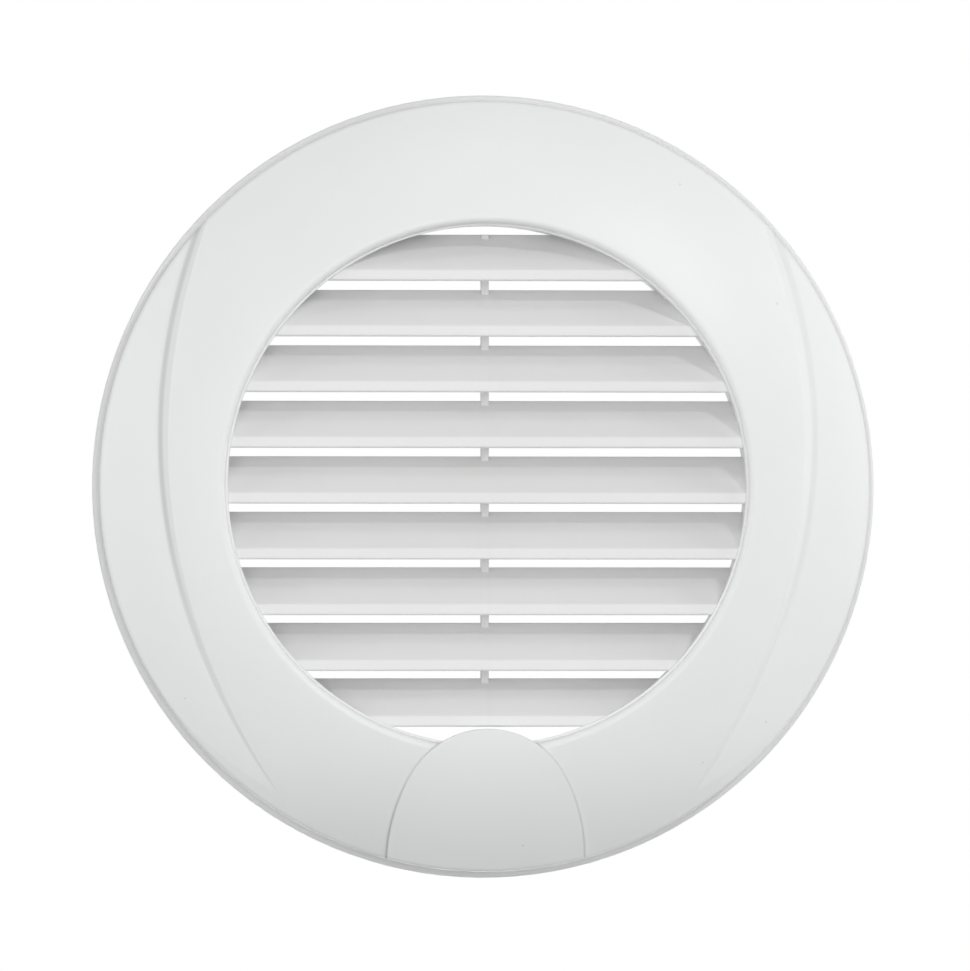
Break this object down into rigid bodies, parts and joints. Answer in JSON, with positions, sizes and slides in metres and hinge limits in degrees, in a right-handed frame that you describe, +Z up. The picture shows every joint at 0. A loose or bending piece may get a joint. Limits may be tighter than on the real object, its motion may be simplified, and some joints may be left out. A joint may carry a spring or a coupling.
{
  "type": "round ventilation grille",
  "caption": "Round louvred ventilation grille: crowned clip-on front bezel over a screw-fixed base with fixed slats and a duct spigot.",
  "frame": {"origin": "centre of the flange's back face, which lies on the wall, on the axis of the spigot and the screw circle", "axes": "-Y is the front that faces the room, +Y runs along the axis into the duct, +Z is up as mounted, +X is to the right seen from the front"},
  "size_m": [0.125, 0.0375, 0.125],
  "materials": {
    "base_plastic": "white moulded ABS, satin",
    "bezel_plastic": "white moulded ABS, semi-gloss"
  },
  "bodies": {
    "root": {"louvre_base": "base_plastic", "front_bezel": "bezel_plastic"}
  },
  "joints": []
}
